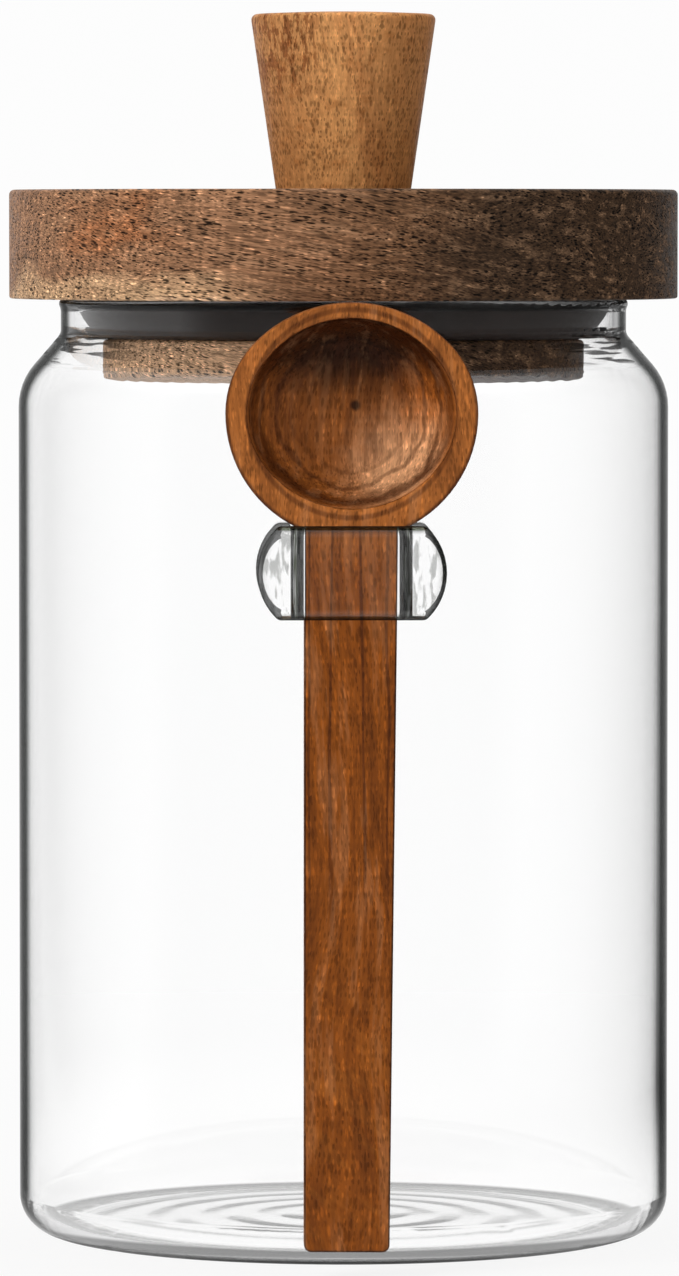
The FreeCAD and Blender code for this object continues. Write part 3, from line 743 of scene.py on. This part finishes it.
def turning_group():
    """Geometry Nodes that round the corners of an outline by each point's radius and turn it about Z."""
    tree = bpy.data.node_groups.get("Turned Piece")
    if tree:
        return tree
    tree = bpy.data.node_groups.new("Turned Piece", "GeometryNodeTree")
    group_sockets(
        tree,
        [
            ("Outline", "NodeSocketGeometry", None),
            ("Segments", "NodeSocketInt", 192),
            ("Corner Steps", "NodeSocketInt", 6),
            ("Material", "NodeSocketMaterial", None),
        ],
        [("Geometry", "NodeSocketGeometry")],
    )
    nodes = Nodes(tree)
    given = nodes.add("NodeGroupInput").outputs
    radius = nodes.add("GeometryNodeInputRadius").outputs[0]
    rounded = nodes.add(
        "GeometryNodeFilletCurve",
        {"Curve": given["Outline"], "Count": given["Corner Steps"], "Radius": radius, "Limit Radius": True},
        mode="POLY",
    ).outputs[0]
    count = nodes.add("GeometryNodeAttributeDomainSize", {0: rounded}, component="CURVE").outputs["Point Count"]
    grid = nodes.add(
        "GeometryNodeMeshGrid", {"Vertices X": nodes.math("ADD", given["Segments"], 1.0), "Vertices Y": count}
    ).outputs["Mesh"]
    index = nodes.add("GeometryNodeInputIndex").outputs[0]
    step = nodes.math("FLOOR", nodes.math("DIVIDE", index, count))
    turn = nodes.math("MULTIPLY", nodes.math("DIVIDE", step, given["Segments"]), math.tau)
    place = nodes.add("GeometryNodeInputPosition").outputs[0]
    sampled = nodes.add(
        "GeometryNodeSampleIndex",
        {"Geometry": rounded, "Value": place, "Index": nodes.math("MODULO", index, count)},
        data_type="FLOAT_VECTOR",
        domain="POINT",
    ).outputs["Value"]
    reach, _, up = nodes.split(sampled)
    place = nodes.join(
        nodes.math("MULTIPLY", reach, nodes.math("COSINE", turn)),
        nodes.math("MULTIPLY", reach, nodes.math("SINE", turn)),
        up,
    )
    turned = nodes.add("GeometryNodeSetPosition", {"Geometry": grid, "Position": place}).outputs[0]
    closed = nodes.add("GeometryNodeMergeByDistance", {"Geometry": turned, "Distance": 0.001 * MM}).outputs[0]
    smooth = nodes.add("GeometryNodeSetShadeSmooth", {"Geometry": closed}).outputs[0]
    real = nodes.add("GeometryNodeRealizeInstances", {"Geometry": smooth}).outputs[0]
    dressed = nodes.add("GeometryNodeSetMaterial", {"Geometry": real, "Material": given["Material"]}).outputs[0]
    nodes.add("NodeGroupOutput", {"Geometry": dressed})
    return tree


def turned_piece(name, outline, material, segments):
    """A closed piece turned from an outline of (radius, height, rounding) points, axis to axis."""
    curve = bpy.data.curves.new(name + " Outline", "CURVE")
    curve.dimensions = "3D"
    spline = curve.splines.new("POLY")
    spline.points.add(len(outline) - 1)
    for point, (reach, up, rounding) in zip(spline.points, outline):
        point.co = (reach, 0.0, up, 1.0)
        point.radius = rounding
    source = bpy.data.objects.new(name + " Source", curve)
    bpy.context.scene.collection.objects.link(source)
    turning = source.modifiers.new("Turned", "NODES")
    tree = turning_group()
    turning.node_group = tree
    sockets = {each.name: each.identifier for each in tree.interface.items_tree if each.in_out == "INPUT"}
    turning[sockets["Segments"]] = segments
    turning[sockets["Material"]] = material
    mesh = bpy.data.meshes.new_from_object(source.evaluated_get(bpy.context.evaluated_depsgraph_get()))
    bpy.data.objects.remove(source)
    bpy.data.curves.remove(curve)
    return new_piece(name, mesh)


def new_piece(name, mesh):
    """An object for a finished mesh, with its faces turned outwards and its large faces kept flat."""
    mesh.name = name
    form = bmesh.new()
    form.from_mesh(mesh)
    bmesh.ops.recalc_face_normals(form, faces=form.faces)
    form.to_mesh(mesh)
    form.free()
    piece = bpy.data.objects.new(name, mesh)
    bpy.context.scene.collection.objects.link(piece)
    weigh = piece.modifiers.new("Weighted Normals", "WEIGHTED_NORMAL")
    weigh.weight = 60
    weighted = bpy.data.meshes.new_from_object(piece.evaluated_get(bpy.context.evaluated_depsgraph_get()))
    piece.modifiers.remove(weigh)
    piece.data = weighted
    bpy.data.meshes.remove(mesh)
    weighted.name = name
    return piece


def stand_for(piece, node):
    """Lets a piece ride on the jar's only body in place of a node."""
    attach(piece, "root")
    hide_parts(node)


def dress(node, material):
    """Gives a node's own object a new material."""
    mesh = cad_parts[node].data
    mesh.materials.clear()
    mesh.materials.append(material)


# ---------------------------------------------------------------- studio


def surroundings(nodes, direction):
    """How bright the studio is in a direction, as reflections show it.

    It is open behind the jar, half dim on the left, and dim on the right and before it."""
    across, along, up = nodes.split(direction)
    right = nodes.spread(across, 0.2, 0.8)
    left = nodes.spread(across, -0.25, -0.8, 0.0, 0.45)
    before = nodes.spread(along, 0.1, -0.7, 0.0, 0.9)
    dim = nodes.math("MAXIMUM", nodes.math("MAXIMUM", right, left), before)
    overhead = nodes.spread(up, 0.3, 0.85, 0.0, 0.6)
    return nodes.math("MAXIMUM", nodes.spread(dim, 0.0, 1.0, 0.95, 0.12), overhead)


def studio_floor(settings):
    """A round floor that shows white to the eye and in glass, and still takes the jar's shadow."""
    form = bmesh.new()
    bmesh.ops.create_circle(form, cap_ends=True, radius=settings.floor_radius, segments=96)
    mesh = bpy.data.meshes.new("studio_floor")
    form.to_mesh(mesh)
    form.free()
    floor = bpy.data.objects.new("studio_floor", mesh)
    bpy.context.scene.collection.objects.link(floor)

    # even white away from the jar, and a share of plain floor near it, which keeps its shadow
    material, nodes = new_material("Studio Floor")
    path = nodes.add("ShaderNodeLightPath").outputs
    plain = nodes.add("ShaderNodeBsdfDiffuse", {"Color": tuple(settings.floor_colour)})
    white = nodes.blend(path["Is Transmission Ray"], SEEN_WHITE, WHITE_BEHIND_GLASS)
    lit = nodes.add("ShaderNodeEmission", {"Strength": white})
    place = nodes.vector("MULTIPLY", nodes.add("ShaderNodeNewGeometry").outputs["Position"], (1.0, 1.0, 0.0))
    reach = nodes.length(place)
    share = nodes.spread(reach, settings.floor_reach * 0.25, settings.floor_reach, settings.floor_glow, 1.0)
    seen = nodes.math("MAXIMUM", path["Is Camera Ray"], path["Is Transmission Ray"])
    shown = nodes.shaders(nodes.math("MULTIPLY", seen, share), plain.outputs[0], lit.outputs[0])

    # mirrored rays see a pale floor close by and the studio's walls beyond
    around = surroundings(nodes, nodes.vector("NORMALIZE", place, (0.0, 0.0, 0.0)))
    walls = nodes.blend(nodes.spread(reach, 0.08, 0.25), 0.85, around)
    wall = nodes.add("ShaderNodeEmission", {"Strength": walls})
    mirrored = nodes.math("GREATER_THAN", path["Glossy Depth"], 0.5)
    finish_material(nodes, nodes.shaders(mirrored, shown, wall.outputs[0]))
    mesh.materials.append(material)


def studio_world(settings):
    """Soft even light, which shows white behind the jar and darker towards the sides in reflections."""
    world = bpy.data.worlds.new("Studio")
    world.use_nodes = True
    world.node_tree.nodes.clear()
    nodes = Nodes(world.node_tree)
    path = nodes.add("ShaderNodeLightPath").outputs
    mirrored = nodes.math("GREATER_THAN", path["Glossy Depth"], 0.5)
    walls = surroundings(nodes, nodes.add("ShaderNodeTexCoord").outputs["Generated"])
    around = nodes.blend(mirrored, settings.ambient, walls)
    seen = nodes.math("MAXIMUM", path["Is Camera Ray"], path["Is Transmission Ray"])
    white = nodes.blend(path["Is Transmission Ray"], SEEN_WHITE, WHITE_BEHIND_GLASS)
    direct = nodes.math("MULTIPLY", seen, nodes.math("SUBTRACT", 1.0, mirrored))
    strength = nodes.blend(direct, around, white)
    glow = nodes.add("ShaderNodeBackground", {"Color": (1.0, 1.0, 1.0), "Strength": strength})
    nodes.add("ShaderNodeOutputWorld", {"Surface": glow.outputs[0]})
    bpy.context.scene.world = world


def soft_lamp(name, place, size, power):
    """A square soft lamp that faces the middle of the jar. Neither reflections nor glass show it."""
    lamp = bpy.data.lights.new(name, "AREA")
    lamp.shape = "SQUARE"
    lamp.size = size
    lamp.energy = power
    thing = bpy.data.objects.new(name, lamp)
    thing.location = place
    thing.rotation_euler = (LAMP_TARGET - Vector(place)).to_track_quat("-Z", "Y").to_euler()
    thing.visible_glossy = False
    thing.visible_transmission = False
    bpy.context.scene.collection.objects.link(thing)


def studio_camera(settings):
    """The camera stands a little left of the spoon's side and looks slightly down."""
    camera = bpy.data.cameras.new("Camera")
    camera.lens = settings.lens
    camera.sensor_fit = "AUTO"
    camera.sensor_width = 36.0
    camera.clip_start = 0.05
    thing = bpy.data.objects.new("Camera", camera)
    away = settings.camera_distance
    turn, height = settings.camera_turn, settings.camera_height
    place = Vector((-math.sin(turn) * away, -math.cos(turn) * away, height))
    aim = Vector((-settings.camera_pan, 0.0, height - math.tan(settings.camera_tilt) * away))
    thing.location = place
    thing.rotation_euler = (aim - place).to_track_quat("-Z", "Y").to_euler()
    bpy.context.scene.collection.objects.link(thing)
    bpy.context.scene.camera = thing


# ---------------------------------------------------------------- operators


class JarGlassOperator(bpy.types.Operator):
    """Gives the jar and its welded loop clear glass"""

    bl_idname = "jar.glass"
    bl_label = "Glass"

    def execute(self, context):
        dress("jar", clear_glass(context.scene.jar.glass))
        return {"FINISHED"}


class JarLidOperator(bpy.types.Operator):
    """Turns the wooden lid: a disc, a groove for the seal and a plug"""

    bl_idname = "jar.lid"
    bl_label = "Lid"

    def execute(self, context):
        settings = context.scene.jar.lid
        low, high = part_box("lid")
        under = high.z - settings.disc_thickness + LIP_GAP
        shelf = low.z + settings.plug_thickness
        soft, fine = 0.6 * MM, 0.4 * MM
        outline = [
            (0.0, low.z, 0.0),
            (settings.plug_radius, low.z, soft),
            (settings.plug_radius, shelf, soft),
            (settings.groove_radius, shelf, 0.0),
            (settings.groove_radius, under, 0.0),
            (high.x, under, fine),
            (high.x, high.z, settings.edge_round),
            (0.0, high.z, 0.0),
        ]
        lid = turned_piece("lid_turned", outline, lid_wood(settings), settings.segments)
        stand_for(lid, "lid")
        return {"FINISHED"}


class JarSealOperator(bpy.types.Operator):
    """Turns the silicone seal with its rounded taper"""

    bl_idname = "jar.seal"
    bl_label = "Seal"

    def execute(self, context):
        settings, lid = context.scene.jar.seal, context.scene.jar.lid
        low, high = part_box("seal")
        foot = Vector((high.x - settings.foot, low.z))
        shoulder = Vector((high.x, high.z - settings.edge))
        chord = shoulder - foot
        bow = math.tan(math.asin(chord.length / 2 / settings.curve)) * chord.length / 2
        corner = (foot + shoulder) / 2 + Vector((chord.y, -chord.x)).normalized() * bow
        outline = [
            (lid.groove_radius, low.z, 0.0),
            (foot.x, foot.y, 0.0),
            (corner.x, corner.y, settings.curve),
            (shoulder.x, shoulder.y, 0.0),
            (high.x, high.z, 0.0),
            (lid.groove_radius, high.z, 0.0),
            (lid.groove_radius, low.z, 0.0),
        ]
        seal = turned_piece("seal_ring", outline, silicone(settings), lid.segments)
        stand_for(seal, "seal")
        return {"FINISHED"}


class JarKnobOperator(bpy.types.Operator):
    """Turns the cone knob with its slightly domed top"""

    bl_idname = "jar.knob"
    bl_label = "Knob"

    def execute(self, context):
        settings = context.scene.jar.knob
        low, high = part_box("knob")
        rim = high.x + RIM_SPARE
        outline = [
            (0.0, low.z, 0.0),
            (settings.base_radius, low.z, 0.0),
            (rim, high.z - settings.crown, settings.edge_round),
            (rim * 0.5, high.z - settings.crown * 0.25, rim),
            (0.0, high.z, 0.0),
        ]
        knob = turned_piece("knob_turned", outline, knob_wood(settings), context.scene.jar.lid.segments)
        stand_for(knob, "knob")
        return {"FINISHED"}


class JarSpoonOperator(bpy.types.Operator):
    """Gives the hanging spoon its reddish wood"""

    bl_idname = "jar.spoon"
    bl_label = "Spoon"

    def execute(self, context):
        dress("spoon", spoon_wood(context.scene.jar.spoon))
        return {"FINISHED"}


class JarStudioOperator(bpy.types.Operator):
    """Sets up the pale floor, the soft lamps and the camera"""

    bl_idname = "jar.studio"
    bl_label = "Studio"

    def execute(self, context):
        settings = context.scene.jar.studio
        studio_floor(settings)
        studio_world(settings)
        soft_lamp("Key Lamp", (-0.95, -0.85, 1.05), 0.8, settings.key_power)
        soft_lamp("Fill Lamp", (1.2, -0.9, 0.5), 0.9, settings.fill_power)
        soft_lamp("Top Lamp", (0.1, 0.25, 1.3), 0.9, settings.top_power)
        studio_camera(settings)
        context.scene.view_settings.view_transform = "Standard"
        return {"FINISHED"}


class JarPanel(bpy.types.Panel):
    """Lists the jar's pieces and their settings"""

    bl_idname = "VIEW3D_PT_jar"
    bl_label = "Storage Jar"
    bl_space_type = "VIEW_3D"
    bl_region_type = "UI"
    bl_category = "Jar"

    def draw(self, context):
        settings = context.scene.jar
        for operator, part in OPERATORS:
            box = self.layout.box()
            box.operator(operator.bl_idname)
            group = getattr(settings, part)
            for name in group.bl_rna.properties.keys():
                if name not in ("rna_type", "name"):
                    box.prop(group, name)


OPERATORS = (
    (JarGlassOperator, "glass"),
    (JarLidOperator, "lid"),
    (JarSealOperator, "seal"),
    (JarKnobOperator, "knob"),
    (JarSpoonOperator, "spoon"),
    (JarStudioOperator, "studio"),
)

CLASSES = (
    JarGlassSettings,
    JarLidSettings,
    JarKnobSettings,
    JarSpoonSettings,
    JarSealSettings,
    JarStudioSettings,
    JarSettings,
    *(operator for operator, _ in OPERATORS),
    JarPanel,
)


def register():
    for each in CLASSES:
        bpy.utils.register_class(each)
    bpy.types.Scene.jar = PointerProperty(type=JarSettings)


def unregister():
    del bpy.types.Scene.jar
    for each in reversed(CLASSES):
        bpy.utils.unregister_class(each)


def main():
    register()
    bpy.ops.jar.glass()
    bpy.ops.jar.lid()
    bpy.ops.jar.seal()
    bpy.ops.jar.knob()
    bpy.ops.jar.spoon()
    bpy.ops.jar.studio()


if __name__ == "__main__":
    main()
